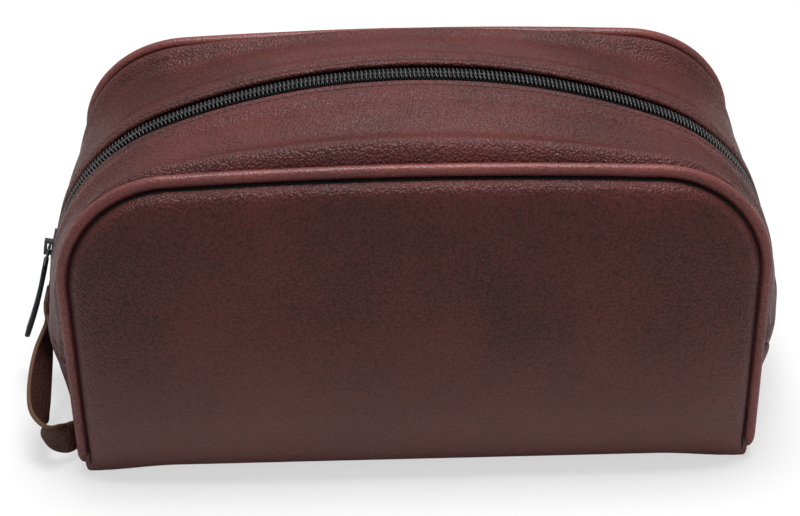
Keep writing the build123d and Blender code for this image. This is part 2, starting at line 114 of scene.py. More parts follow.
def outline(u, swell, depth, start_z):
    """Point (across, up) on the right half of the outline that has swelled by the share swell.

    u in 0..1 runs along the straight side from start_z to the foot of the corner arc, 1..2 round
    that arc and 2..3 along half of the crown arc. The foot can lie below start_z, near the zip.
    Each radius and half width is reduced by depth."""
    def blend(a, b):
        return a + (b - a) * swell
    inner = 0.6 * (1.0 - swell) + depth
    half_wide = blend(PIPING_HALF, RIDGE_HALF) - inner
    corner_r = blend(PANEL_CORNER_R, RIDGE_CORNER_R) - inner
    top = blend(PANEL_TOP, RIDGE_TOP) - inner
    crown_r = 1.0 / blend(1 / PANEL_CROWN_R, 1 / RIDGE_CROWN_R) - inner
    corner_x = half_wide - corner_r
    crown_z = top - crown_r
    corner_z = crown_z + np.sqrt((crown_r - corner_r) ** 2 - corner_x ** 2)
    low_r = np.maximum(BASE_CORNER_R - depth, 0.5)
    low_x = BASE_HALF - inner - low_r
    low_z = inner + low_r
    run_x = corner_x - low_x
    run_z = corner_z - low_z
    side = np.arctan2(run_z, run_x) - np.arccos((low_r - corner_r) / np.hypot(run_x, run_z))
    crown = np.arctan2(corner_z - crown_z, corner_x)
    x_low = low_x + low_r * np.cos(side)
    z_low = low_z + low_r * np.sin(side)
    x_high = corner_x + corner_r * np.cos(side)
    z_high = corner_z + corner_r * np.sin(side)
    z_side = start_z + (z_high - start_z) * np.clip(u, 0, 1)
    x_side = x_low + (x_high - x_low) * (z_side - z_low) / (z_high - z_low)
    turn = side + (crown - side) * np.clip(u - 1, 0, 1)
    arc = crown + (math.pi / 2 - crown) * np.clip(u - 2, 0, 1)
    x_top = np.where(u < 2, corner_x + corner_r * np.cos(turn), crown_r * np.cos(arc))
    z_top = np.where(u < 2, corner_z + corner_r * np.sin(turn), crown_z + crown_r * np.sin(arc))
    return np.where(u < 1, x_side, x_top), np.where(u < 1, z_side, z_top)


def arch_steps(side, corner, crown):
    """Values of u from the left seam (0) over the top (3) to the right seam (6)."""
    half = np.concatenate([np.linspace(0, 1, side, endpoint=False),
                           np.linspace(1, 2, corner, endpoint=False),
                           np.linspace(2, 3, crown)])
    return np.concatenate([half, 6 - half[-2::-1]])


def gusset_end(v):
    """Distance from the middle of the bag to the gusset's rim, at the height v up the panel."""
    return FRAME_DEPTH / 2 - RIM_SET - v * math.sin(LEAN)


def gusset(arch, y, depth, start_z=SEAM_Z):
    """Points of the gusset at arch position (0..6), distance y from the middle and depth.

    The swell falls from 1 at the zip to 0 at the piping as 1 - (|y| / end) ** SWELL_POWER."""
    u = np.where(arch > 3, 6 - arch, arch)
    v = np.full(np.broadcast(u, y, depth).shape, 100.0)
    for _ in range(4):
        share = np.clip(np.abs(y) / gusset_end(v), 0, 1)
        x, v = outline(u, 1 - share ** SWELL_POWER, depth, start_z)
    z = v * (1 - share * (1 - math.cos(LEAN)))
    return np.stack([np.where(arch > 3, x, -x), np.broadcast_to(y, x.shape), z], axis=-1)


# %% [markdown]
# Leather that has been carried about is never even. A few long sine waves, summed with fixed
# directions, give a slow swell of under a millimetre without any random numbers.

# %% Slow unevenness of worn leather
WAVES = [
    (0.061, 0.043, 0.37, 1.1),
    (-0.034, 0.083, 0.21, 2.7),
    (0.097, -0.029, -0.26, 0.4),
    (0.023, 0.118, 0.44, 4.2),
]


def unevenness(points):
    """Sum of sines over position in millimetres, between about -1 and 1."""
    x, y, z = points[..., 0], points[..., 1], points[..., 2]
    total = sum(np.sin(a * x + b * y + c * z * 0.3 + phase) for a, b, c, phase in WAVES)
    return total / len(WAVES)


# %% [markdown]
# Every surface here is a grid of points. One function turns a grid into a mesh; it can close the
# grid into a tube, cap its ends and turn it the other way out.

# %% Grid to mesh
def grid_faces(rows, cols, wrap):
    """Quads between neighbouring rows and columns, the columns joined round if wrap is set."""
    across = cols if wrap else cols - 1
    r, c = np.meshgrid(np.arange(rows - 1), np.arange(across), indexing="ij")
    nxt = (c + 1) % cols
    quads = [r * cols + c, r * cols + nxt, (r + 1) * cols + nxt, (r + 1) * cols + c]
    return np.stack(quads, axis=-1).reshape(-1, 4)


def add_mesh(name, points, faces, material):
    """Smooth-shaded object from points in millimetres and a list of faces, at the origin."""
    mesh = bpy.data.meshes.new(name)
    mesh.from_pydata((np.asarray(points) * MM).tolist(), [], faces)
    mesh.polygons.foreach_set("use_smooth", np.full(len(mesh.polygons), True))
    mesh.materials.append(material)
    mesh.update()
    obj = bpy.data.objects.new(name, mesh)
    bpy.context.scene.collection.objects.link(obj)
    return obj


def add_grid(name, grid, material, wrap=False, caps=False, flip=False):
    """Object from a grid of shape (rows, cols, 3), with its loops capped if caps is set."""
    rows, cols = grid.shape[:2]
    faces = grid_faces(rows, cols, wrap).tolist()
    if caps:
        faces.append(list(range(cols))[::-1])
        faces.append([(rows - 1) * cols + c for c in range(cols)])
    if flip:
        faces = [face[::-1] for face in faces]
    return add_mesh(name, grid.reshape(-1, 3), faces, material)


# %% [markdown]
# Materials start from what the real thing is. One helper adds a node, one turns a hex colour
# into the linear values that a shader needs.

# %% Node and colour helpers
def linear(hex_colour, alpha=1.0):
    """sRGB hex string to linear RGBA."""
    values = [int(hex_colour[i:i + 2], 16) / 255 for i in (1, 3, 5)]
    return tuple(v / 12.92 if v <= 0.04045 else ((v + 0.055) / 1.055) ** 2.4 for v in values) + (alpha,)


def node(tree, kind, inputs=None, links=None, **settings):
    """Node of the given kind, with settings, socket values and links from other sockets."""
    made = tree.nodes.new(kind)
    for key, value in settings.items():
        setattr(made, key, value)
    for key, value in (inputs or {}).items():
        made.inputs[key].default_value = value
    for key, socket in (links or {}).items():
        tree.links.new(socket, made.inputs[key])
    return made


def new_material(name):
    """Empty material with its output and its Principled shader."""
    material = bpy.data.materials.new(name)
    material.use_nodes = True
    tree = material.node_tree
    tree.nodes.clear()
    shader = node(tree, "ShaderNodeBsdfPrincipled")
    node(tree, "ShaderNodeOutputMaterial", links={"Surface": shader.outputs["BSDF"]})
    return material, tree, shader


def ramp(tree, factor, stops):
    """Straight colour ramp through (position, hex colour) stops."""
    made = node(tree, "ShaderNodeValToRGB", links={"Fac": factor})
    elements = made.color_ramp.elements
    made.color_ramp.interpolation = "LINEAR"
    while len(elements) < len(stops):
        elements.new(0.5)
    for element, (position, colour) in zip(elements, stops):
        element.position = position
        element.color = linear(colour)
    return made.outputs["Color"]


# %% [markdown]
# The leather is full-grain cowhide, drum-dyed burgundy brown and embossed with a fine pebble.
# The pebble is about 0.9 mm across: a cell pattern gives the bumps, a finer noise breaks them up,
# and slow noise mottles the dye. The mirror part fades where the leather is seen edge on. Towards
# the base the colour is painted paler, up to a set height in metres: this is painted light, a
# painted bounce and reflection of the white floor on the lower leather.

# %% Pebble-grain leather
PEBBLE_MM = 0.9
# Painted light: the height, in metres, and the paler tone of the painted floor bounce on the lower
# leather.
PAINTED_BOUNCE_TOP = 0.075
PAINTED_BOUNCE_TONE = "#6a4846"
EDGE_ON_MIRROR = 0.03


def pebble_leather(name, light, dark, roughness, pebble_mm=PEBBLE_MM, bump=0.3, specular=0.19,
                   painted_bounce=0.0):
    """Leather whose pebbles have the given width; light and dark are the dye's two tones."""
    material, tree, shader = new_material(name)
    place = node(tree, "ShaderNodeTexCoord").outputs["Object"]
    drift = node(tree, "ShaderNodeTexNoise", {"Scale": 420.0, "Detail": 2.0}, {"Vector": place})
    moved = node(tree, "ShaderNodeVectorMath", {"Scale": 0.0009}, {0: drift.outputs["Color"]},
                 operation="SCALE")
    bent = node(tree, "ShaderNodeVectorMath", None, {0: place, 1: moved.outputs[0]},
                operation="ADD").outputs[0]
    cells = node(tree, "ShaderNodeTexVoronoi",
                 {"Scale": 1000.0 / pebble_mm, "Smoothness": 0.35, "Randomness": 1.0},
                 {"Vector": bent}, feature="SMOOTH_F1")
    fine = node(tree, "ShaderNodeTexNoise", {"Scale": 1900.0, "Detail": 3.0, "Roughness": 0.6},
                {"Vector": place})
    dome = node(tree, "ShaderNodeMapRange",
                {"From Min": 0.15, "From Max": 0.85, "To Min": 1.0, "To Max": 0.0},
                {"Value": cells.outputs["Distance"]}, interpolation_type="SMOOTHSTEP")
    height = node(tree, "ShaderNodeMath", {1: 0.22},
                  {0: fine.outputs["Fac"], 2: dome.outputs["Result"]}, operation="MULTIPLY_ADD")
    raised = node(tree, "ShaderNodeBump", {"Strength": bump, "Distance": 0.0006},
                  {"Height": height.outputs[0]})
    blotch = node(tree, "ShaderNodeTexNoise", {"Scale": 26.0, "Detail": 4.0, "Roughness": 0.55},
                  {"Vector": place})
    mottle = node(tree, "ShaderNodeMix", {"Factor": 0.3},
                  {2: blotch.outputs["Fac"], 3: dome.outputs["Result"]})
    tone = ramp(tree, mottle.outputs[0], [(0.3, dark), (0.7, light)])
    # Painted floor bounce: near the base the colour is mixed towards a paler tone, as light from the
    # white floor.
    height_up = node(tree, "ShaderNodeSeparateXYZ", links={"Vector": place}).outputs["Z"]
    low = node(tree, "ShaderNodeMapRange",
               {"From Min": 0.0, "From Max": PAINTED_BOUNCE_TOP, "To Min": painted_bounce, "To Max": 0.0},
               {"Value": height_up}, interpolation_type="SMOOTHSTEP")
    painted_bounce_mix = node(tree, "ShaderNodeMix", {7: linear(PAINTED_BOUNCE_TONE)},
                   {0: low.outputs["Result"], 6: tone}, data_type="RGBA")
    tree.links.new(painted_bounce_mix.outputs[2], shader.inputs["Base Color"])
    rough = node(tree, "ShaderNodeMapRange", {"To Min": roughness + 0.1, "To Max": roughness - 0.06},
                 {"Value": dome.outputs["Result"]})
    tree.links.new(rough.outputs["Result"], shader.inputs["Roughness"])
    tree.links.new(raised.outputs["Normal"], shader.inputs["Normal"])
    shader.inputs["IOR"].default_value = 1.48
    tilt = node(tree, "ShaderNodeLayerWeight", {"Blend": 0.5}).outputs["Facing"]
    mirror = node(tree, "ShaderNodeMapRange",
                  {"From Min": 0.3, "From Max": 0.8, "To Min": specular, "To Max": EDGE_ON_MIRROR},
                  {"Value": tilt})
    tree.links.new(mirror.outputs["Result"], shader.inputs["Specular IOR Level"])
    shader.inputs["Sheen Weight"].default_value = 0.01
    shader.inputs["Sheen Roughness"].default_value = 0.5
    shader.inputs["Sheen Tint"].default_value = linear("#b58a86")
    return material


# The bag leather carries the painted floor bounce, painted light, towards its base.
BAG_LEATHER = pebble_leather("burgundy_pebble_leather", "#5a2a27", "#361917", 0.36,
                             bump=0.45, painted_bounce=0.8)
# The piping's lighter, redder tone than the bag leather is painted highlight, for the overhead light
# along its crest.
PIPING_LEATHER_PAINTED_LIT = pebble_leather("skived_piping_leather_painted_lit", "#7c3d38", "#562a28", 0.36, 0.8, 0.2,
                                specular=0.35)
STRAP_LEATHER = pebble_leather("strap_leather", "#543430", "#3d2522", 0.5, 1.0, 0.3)

# %% [markdown]
# The zip is a number 5 nylon coil on a woven polyester tape, both dyed black. The coil is a
# shiny monofilament; the tape is a herringbone too fine to see, drawn here as crossed ribs.

# %% Zip, thread and puller finishes
def plain(name, colour, roughness, metallic=0.0, grain_mm=0.6, bump=0.1, coat=0.0):
    """Moulded or cast finish: one colour with a faint grain in tone, roughness and height."""
    material, tree, shader = new_material(name)
    place = node(tree, "ShaderNodeTexCoord").outputs["Object"]
    grain = node(tree, "ShaderNodeTexNoise", {"Scale": 1000.0 / grain_mm, "Detail": 3.0},
                 {"Vector": place})
    slow = node(tree, "ShaderNodeTexNoise", {"Scale": 60.0, "Detail": 2.0}, {"Vector": place})
    darker = tuple(c * 0.72 for c in linear(colour)[:3]) + (1,)
    tone = node(tree, "ShaderNodeMix", {6: linear(colour), 7: darker}, {0: slow.outputs["Fac"]},
                data_type="RGBA")
    tree.links.new(tone.outputs[2], shader.inputs["Base Color"])
    rough = node(tree, "ShaderNodeMapRange", {"To Min": roughness - 0.08, "To Max": roughness + 0.08},
                 {"Value": grain.outputs["Fac"]})
    tree.links.new(rough.outputs["Result"], shader.inputs["Roughness"])
    raised = node(tree, "ShaderNodeBump", {"Strength": bump, "Distance": 0.0002},
                  {"Height": grain.outputs["Fac"]})
    tree.links.new(raised.outputs["Normal"], shader.inputs["Normal"])
    shader.inputs["Metallic"].default_value = metallic
    shader.inputs["Coat Weight"].default_value = coat
    return material


def woven(name, light, dark, rib_mm, roughness=0.85):
    """Cloth of crossed ribs, from two sine waves on object coordinates."""
    material, tree, shader = new_material(name)
    place = node(tree, "ShaderNodeTexCoord").outputs["Object"]
    turned = node(tree, "ShaderNodeMapping", {"Rotation": (0.6, 0.5, math.radians(45))},
                  {"Vector": place})
    ribs = [node(tree, "ShaderNodeTexWave", {"Scale": 1000.0 / rib_mm / 2 / math.pi, "Distortion": 0.6},
                 {"Vector": turned.outputs[0]}, bands_direction=axis) for axis in ("X", "Y")]
    both = node(tree, "ShaderNodeMath", None,
                {0: ribs[0].outputs["Fac"], 1: ribs[1].outputs["Fac"]}, operation="MULTIPLY")
    tree.links.new(ramp(tree, both.outputs[0], [(0.1, dark), (0.8, light)]), shader.inputs["Base Color"])
    raised = node(tree, "ShaderNodeBump", {"Strength": 0.5, "Distance": 0.0003},
                  {"Height": both.outputs[0]})
    tree.links.new(raised.outputs["Normal"], shader.inputs["Normal"])
    shader.inputs["Roughness"].default_value = roughness
    shader.inputs["Specular IOR Level"].default_value = 0.15
    return material


COIL_NYLON = plain("black_coil_nylon", "#0e0e10", 0.34, grain_mm=0.3, bump=0.05)
ZIP_TAPE = woven("black_zip_tape", "#1c1b1d", "#0b0a0b", 0.5)
SLIDER_ENAMEL = plain("dark_enamelled_zinc", "#1d1f20", 0.34, metallic=0.6, coat=0.3)
THREAD = plain("brown_bonded_thread", "#2a1712", 0.55, grain_mm=0.25, bump=0.3)
TAB_LEATHER = pebble_leather("black_tab_leather", "#16201f", "#0a1010", 0.4, 0.7, 0.2)
RAW_EDGE = plain("raw_leather_edge", "#63402a", 0.7, grain_mm=0.35, bump=0.4)
NYLON = woven("black_nylon_lining", "#17171a", "#0a0a0c", 0.6, 0.7)
PADDING = plain("padding_foam", "#b9b2a6", 0.9, grain_mm=0.9, bump=0.5)
BOARD = plain("base_stiffener", "#332e2b", 0.8, grain_mm=1.5, bump=0.3)
CORD = plain("piping_filler", "#cfc9bf", 0.6)

# %% [markdown]
# The two leather strips beside the zip reach from the piping to a turned and stitched hem at
# the slot. Each is a closed section carried over the arch: up out of the piping seam, over a
# soft roll, flat to the hem, round its nose and back along the inside. Each strip should end at
# the side seams; near the zip it runs on below them, as said above.

# %% Zip gusset strips
ROLL_TOP = 3.6
ROLL_SIDE = 1.2
ROLL_SEAM = 3.4
ROLL_CENTRE = 5.2
ROLL_WIDTH = 4.6
SEAM_DIP_WIDTH = 1.3
SEAM_BULGE = 3.3
HEM_RISE = 0.9
HEM_WIDTH = 9.0
HEM_NOSE = 1.1
STITCH_SET = 3.0
ARCH = arch_steps(18, 70, 80)


def roll_height(z):
    """Height of the roll behind the piping: full over the top and at the seam, low between."""
    over_top = (ROLL_TOP - ROLL_SIDE) * smooth(z, 84, 116)
    at_seam = (ROLL_SEAM - ROLL_SIDE) * bell(z, SEAM_Z, 9.0)
    return ROLL_SIDE + over_top + at_seam


def seam_bulge(z, y):
    """Swelling of the ends at the side seams, where four layers of leather meet."""
    return SEAM_BULGE * bell(z, SEAM_Z - 6, 14) * bell(np.abs(y), 36, 13)


def skin_height(y, points):
    """Height of the outer face over the plain blend, in millimetres.

    e is the distance from the piping's seam: the leather comes up out of it and over the roll.
    h is the distance from the slot: the hem is a double layer, dimpled along its stitches."""
    v = points[..., 2]
    e = gusset_end(v) - np.abs(y)
    h = np.abs(y) - SLOT_HALF
    roll = roll_height(v) * bell(e, ROLL_CENTRE, ROLL_WIDTH)
    seam = -2.4 * np.exp(-np.maximum(e, 0) / SEAM_DIP_WIDTH)
    dimple = 0.35 * bell(h, STITCH_SET, 0.8)
    hem = HEM_RISE * (1 - smooth(h, HEM_WIDTH - 2.0, HEM_WIDTH + 3.0)) - dimple
    side_seam = -1.6 * np.exp(-np.maximum(v - SEAM_Z, 0) / 1.5)
    slow = 0.5 * unevenness(points) * smooth(e, 3, 14) * smooth(h, 4, 14)
    bulge = seam_bulge(v, y) * smooth(e, 0, 8)
    return roll + seam + hem * smooth(v, SEAM_Z, SEAM_Z + 3) + side_seam + slow + bulge


def strip_grid(side):
    """Closed section of one strip carried over the arch; side is -1 for the front."""
    rough = gusset(ARCH[:, None], np.full((1, 1), side * 30.0), np.zeros((1, 1)))
    end = gusset_end(rough[..., 2])
    q = np.concatenate([np.linspace(0, 0.12, 14, endpoint=False),
                        np.linspace(0.12, 0.3, 12, endpoint=False),
                        np.linspace(0.3, 0.7, 14, endpoint=False),
                        np.linspace(0.7, 1, 22)])[None, :]
    y = side * (end * (1 - q) + (SLOT_HALF + HEM_NOSE) * q)
    flat = gusset(ARCH[:, None], y, np.zeros_like(y))
    height = skin_height(y, flat)
    outer = gusset(ARCH[:, None], y, -height)
    edge_height = height[:, -1:]
    thick = LEATHER + np.maximum(edge_height, 0)
    turn = np.linspace(0, math.pi, 9)[None, 1:-1]
    nose_y = side * (SLOT_HALF + HEM_NOSE * (1 - np.sin(turn)))
    nose = gusset(ARCH[:, None], nose_y, -(edge_height - thick / 2 * (1 - np.cos(turn))))
    back = np.linspace(1, 0, 14)[None, :]
    inner_y = side * (end * (1 - back) + (SLOT_HALF + HEM_NOSE) * back)
    inner_height = np.interp(back[0], q[0], np.arange(q.size)).astype(int)
    lifted = np.minimum(0, -height[:, inner_height]) * smooth(1 - back, 0, 0.3)
    inner = gusset(ARCH[:, None], inner_y, LEATHER + lifted)
    return np.concatenate([outer, nose, inner], axis=1)


for name, side in (("front", -1), ("back", 1)):
    strip = add_grid(f"{name}_zip_strip", strip_grid(side), BAG_LEATHER, wrap=True, caps=True,
                     flip=side > 0)
    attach(strip, "bag")
    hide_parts(f"{name}_zip_gusset")
    print(strip.name, len(strip.data.polygons), "faces")

# %% [markdown]
# Below the side seams each end is one more piece of the same leather, between the two pipings
# and down to the piping that edges the base. It tucks in a little at every seam. Near the zip
# it follows the straight side past the foot of the corner arc, so its upper edge stands proud of
# the strips there, by up to 5.4 mm.

# %% End panels
END_LOW = 2 * PIPING_R + 0.2
END_HIGH = SEAM_Z - 0.15


def end_points(side, rows, y, depth):
    """Points of an end panel: rows in 0..1 from the base to the seam, y across, depth inwards."""
    sign = np.where(side > 0, 1, -1)
    v = END_LOW + (END_HIGH - END_LOW) * rows
    share = np.clip(np.abs(y) / gusset_end(v), 0, 1)
    x = outline(np.zeros_like(v + y), 1 - share ** SWELL_POWER, depth, v + 0 * y)[0]
    return np.stack([sign * x, y + 0 * x, v + 0 * x], axis=-1)


def end_grid(side):
    """Closed section of one end panel, from the base up; side is -1 for the left."""
    rows = np.concatenate([np.linspace(0, 0.2, 10, endpoint=False),
                           np.linspace(0.2, 0.85, 22, endpoint=False),
                           np.linspace(0.85, 1, 10)])[:, None]
    v = END_LOW + (END_HIGH - END_LOW) * rows
    across = np.sin(np.linspace(-1, 1, 90) * math.pi / 2)[None, :]
    limit = gusset_end(v) - 6.5 * (1 - smooth(v, END_LOW, 14.0)) ** 2
    y = across * limit
    e = gusset_end(v) - np.abs(y)
    height = (roll_height(v) * bell(e, ROLL_CENTRE, ROLL_WIDTH) * smooth(v, 8, 30)
              - 2.2 * np.exp(-e / SEAM_DIP_WIDTH)
              - 1.6 * np.exp(-(SEAM_Z - v) / 1.5) - 0.8 * np.exp(-(v - END_LOW) / 1.5)
              + seam_bulge(v, y) * smooth(e, 0, 8))
    outer = end_points(side, rows, y, -height)
    outer = end_points(side, rows, y, -height - 0.5 * unevenness(outer) * smooth(e, 3, 14))
    inner = end_points(side, rows, y[:, ::-1], np.full_like(y, LEATHER))
    return np.concatenate([outer, inner], axis=1)


for name, side in (("left", -1), ("right", 1)):
    panel = add_grid(f"{name}_end", end_grid(side), BAG_LEATHER, wrap=True, caps=True, flip=side < 0)
    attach(panel, "bag")
    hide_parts(f"{name}_end_panel")
    print(panel.name, len(panel.data.polygons), "faces")

# %% [markdown]
# The front and back panels are each one sheet that comes down from the piping, folds softly
# under the bag and runs to a seam along the middle of the base. The fold is wide in the middle
# and tightens towards the corners, where the piping holds it.

# %% Front and back panels
PANEL_BULGE = 7.6
PANEL_SOFTNESS = 14.0
EDGE_RISE = 4.6
EDGE_TUCK = 2.35
EDGE_START = 1.7
EDGE_STEEP = 1.2
FOAM = 2.0
LINING = 0.4
LAYER_GAP = 0.15
FOLD_R = 6.5
FOLD_R_CORNER = 3.5
FOLD_TURN = math.pi / 2 + LEAN
BASE_RUN = FRAME_DEPTH / 2 + RIM_SET
FACE_FOOT = 6.5


def panel_rim(count_base, count_side, count_corner, count_crown):
    """Closed edge of the flat pattern as (across, along); along is 0 at the front foot."""
    u = np.concatenate([np.linspace(0, 1, count_side, endpoint=False),
                        np.linspace(1, 2, count_corner, endpoint=False),
                        np.linspace(2, 3, count_crown)])
    x, v = outline(u, np.zeros_like(u), np.zeros_like(u), FACE_FOOT)
    side_x = np.full(count_base, x[0])
    side_v = np.linspace(-BASE_RUN + 0.1, FACE_FOOT, count_base, endpoint=False)
    right = np.stack([np.concatenate([side_x, x]), np.concatenate([side_v, v])], axis=-1)
    right[:, 0] -= 2.0 * smooth(-right[:, 1], -6, 4)
    left = right[::-1] * [-1, 1]
    across = np.linspace(-1, 1, 60)[1:-1, None] * [[right[0, 0], 0]] + [[0, right[0, 1]]]
    return np.concatenate([right, left[1:], across])


def bend_panel(flat, side, rise):
    """Flat pattern points folded round the foot and lifted by rise along the sheet's normal."""
    a, c = flat[..., 0], flat[..., 1]
    radius = FOLD_R_CORNER + (FOLD_R - FOLD_R_CORNER) * (1 - smooth(np.abs(a), 88, 118))
    tangent = radius * math.tan(FOLD_TURN / 2)
    angle = np.clip((c + tangent) / (2 * tangent), 0, 1) * FOLD_TURN
    foot_y = -BASE_RUN
    on_face = np.maximum(c - tangent, 0)
    on_base = np.minimum(c + tangent, 0)
    centre_y = foot_y + radius * math.tan(FOLD_TURN / 2)
    y = centre_y - radius * np.sin(angle) - on_base + on_face * math.sin(LEAN)
    z = radius * (1 - np.cos(angle)) + on_face * math.cos(LEAN)
    normal_y = -np.sin(angle)
    normal_z = -np.cos(angle)
    return np.stack([a, -side * (y + rise * normal_y), z + rise * normal_z], axis=-1)


def panel_grid(side):
    """Rings from the rim to the middle of the pattern, each lifted by the panel's padding."""
    rim = panel_rim(34, 36, 40, 46)
    centre = np.array([0.0, 40.0])
    rings = 1 - np.concatenate([np.linspace(0, 0.14, 26, endpoint=False),
                                np.linspace(0.14, 1, 44, endpoint=False)])
    flat = centre + rings[:, None, None] * (rim - centre)
    step = np.roll(rim, -1, axis=0) - np.roll(rim, 1, axis=0)
    normal = np.stack([step[:, 1], -step[:, 0]], axis=-1)
    normal /= np.linalg.norm(normal, axis=-1, keepdims=True)
    reach = np.abs(((rim - centre) * normal).sum(axis=-1))
    distance = (1 - rings[:, None]) * reach
    on_face = smooth(flat[..., 1], -2, 30)
    past_edge = np.maximum(distance - EDGE_START, 0)
    shoulder = EDGE_RISE * (1 - np.exp(-past_edge / EDGE_STEEP)) - EDGE_TUCK
    pillow = (PANEL_BULGE - EDGE_RISE + EDGE_TUCK) * (1 - np.exp(-distance / PANEL_SOFTNESS))
    rise = shoulder * smooth(flat[..., 1], 2, 12) + pillow * on_face
    rough = bend_panel(flat, side, rise)
    return flat, rise + 0.45 * unevenness(rough) * smooth(distance, 4, 20) * on_face


def build_panel_sheet(name, side, flat, rise, thick, material):
    """Closed sheet whose outer face has the given rise over the pattern."""
    outer = bend_panel(flat, side, rise)
    inner = bend_panel(flat, side, rise - thick)
    rings, count = outer.shape[:2]
    points = np.concatenate([outer[::-1], inner]).reshape(-1, 3)
    faces = grid_faces(2 * rings, count, True).tolist()
    faces.append(list(range(count))[::-1])
    faces.append([(2 * rings - 1) * count + c for c in range(count)])
    if side < 0:
        faces = [face[::-1] for face in faces]
    return add_mesh(name, points, faces, material)


def on_face_only(flat, inset):
    """Pattern of an inner layer: drawn in by inset at the rim, and cut off above the base."""
    centre = flat[-1:]
    reach = np.linalg.norm(flat - centre, axis=-1, keepdims=True)
    drawn = centre + (flat - centre) * np.maximum(reach - inset, 0) / np.maximum(reach, 1e-6)
    low = FOLD_R + 1.0
    squeezed = low + (drawn[..., 1] + BASE_RUN) * (40 - low) / (40 + BASE_RUN)
    drawn[..., 1] = np.where(drawn[..., 1] < 40, squeezed, drawn[..., 1])
    return drawn


for name, side in (("front", -1), ("back", 1)):
    flat, rise = panel_grid(side)
    panel = build_panel_sheet(f"{name}_face", side, flat, rise, LEATHER, BAG_LEATHER)
    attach(panel, "bag")
    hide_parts(f"{name}_panel")
    under = LEATHER + LAYER_GAP
    inner_flat = on_face_only(flat, 3.0)
    padding = build_panel_sheet(f"{name}_foam", side, inner_flat, rise - under, FOAM, PADDING)
    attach(padding, "bag")
    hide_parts(f"{name}_padding")
    inner_rise = rise - under - FOAM - LAYER_GAP
    inner = build_panel_sheet(f"{name}_inner", side, inner_flat, inner_rise, LINING, NYLON)
    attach(inner, "bag")
    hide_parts(f"{name}_lining")
    print(panel.name, len(panel.data.polygons), "faces")

# %% [markdown]
# The piping is a strip of thin leather wrapped round a filler cord and caught in the seam. Its
# route is up the side of the panel, over the crown, down, and along the edge of the base.

# %% Piping
TURN_R = 8.0
SECTION_HINT = np.array([0.35, 1.0, 0.2])


def piping_route(side):
    """Centre line of one piping, from the middle of the base round the panel and back."""
    u = np.concatenate([np.linspace(0.06, 1, 30, endpoint=False),
                        np.linspace(1, 2, 60, endpoint=False),
                        np.linspace(2, 3, 60)])
    x, v = outline(u, np.zeros_like(u), np.full_like(u, -0.6), FACE_FOOT)
    face = np.stack([x, FRAME_DEPTH / 2 - v * math.sin(LEAN), v * math.cos(LEAN)], axis=-1)
    foot = face[0] - (face[1] - face[0]) * ((face[0, 2] - PIPING_R) / (face[1, 2] - face[0, 2]))
    up = (face[1] - face[0]) / np.linalg.norm(face[1] - face[0])
    back = np.array([0.0, -1.0, 0.0])
    half_turn = (math.pi / 2 + LEAN) / 2
    trim = TURN_R * math.tan(half_turn)
    bisector = (up + back) / np.linalg.norm(up + back)
    centre = foot + bisector * TURN_R / math.cos(half_turn)
    angles = np.linspace(-half_turn, half_turn, 16)
    outward = -bisector
    along = (up - back) / np.linalg.norm(up - back)
    arc = centre + TURN_R * (np.cos(angles)[:, None] * outward + np.sin(angles)[:, None] * along)
    base_y = np.linspace(0.1, foot[1] - trim, 40, endpoint=False)
    base = np.stack([np.full(40, foot[0]), base_y, np.full(40, foot[2])], axis=-1)
    start = foot + up * trim
    face = face[face[:, 2] > start[2] + 0.5]
    right = np.concatenate([base, arc, face])
    left = right[::-1] * [-1, 1, 1]
    route = np.concatenate([right, left[1:]])
    route[:, 1] *= side
    return route


def along_route(route, section_r, count):
    """Tube round a route: at each point a circle square to it. section_r may vary by point."""
    tangent = np.gradient(route, axis=0)
    tangent /= np.linalg.norm(tangent, axis=1, keepdims=True)
    first = np.cross(tangent, SECTION_HINT)
    first /= np.linalg.norm(first, axis=1, keepdims=True)
    second = np.cross(tangent, first)
    angle = np.linspace(0, 2 * math.pi, count, endpoint=False)
    radius = np.broadcast_to(section_r, (len(route),))[:, None, None]
    ring = (np.cos(angle)[None, :, None] * first[:, None]
            + np.sin(angle)[None, :, None] * second[:, None])
    return route[:, None] + radius * ring


for name, side in (("front", -1), ("back", 1)):
    route = piping_route(side)
    length = np.concatenate([[0], np.cumsum(np.linalg.norm(np.diff(route, axis=0), axis=1))])
    radius = PIPING_R * (1 + 0.02 * np.sin(length / 9.0) + 0.012 * np.sin(length / 3.7))
    radius = np.minimum(radius, PIPING_R)
    piping = add_grid(f"{name}_piping_skin", along_route(route, radius, 20), PIPING_LEATHER_PAINTED_LIT,
                      wrap=True, caps=True)
    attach(piping, "bag")
    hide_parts(f"{name}_piping")
    print(piping.name, "is", round(length[-1]), "mm long")

# %% [markdown]
# A nylon coil zip is a real spiral: one filament wound round a filler and sewn to each tape.
# The two spirals mesh along the middle, so each loop's head lies between two of its neighbours.

# %% Zip coils
COIL_PITCH = 1.55
COIL_HALF_WIDTH = 1.75
COIL_HALF_HEIGHT = 0.95
FILAMENT_R = 0.33
COIL_STEPS = 14
ridge_u = arch_steps(60, 260, 300)
ridge = gusset(ridge_u, np.zeros_like(ridge_u), np.zeros_like(ridge_u))
ridge_length = np.concatenate([[0], np.cumsum(np.linalg.norm(np.diff(ridge, axis=0), axis=1))])
above_seam = np.linalg.norm(np.diff(ridge, axis=0), axis=1)[ridge[1:, 2] > SEAM_Z].sum()
print("zip route", round(ridge_length[-1]), "mm,", round(above_seam), "mm above the seams")


def ridge_at(s, y, depth):
    """Point at distance s along the zip, y across it and depth under the leather's face."""
    return gusset(np.interp(s, ridge_length, ridge_u), y, depth)


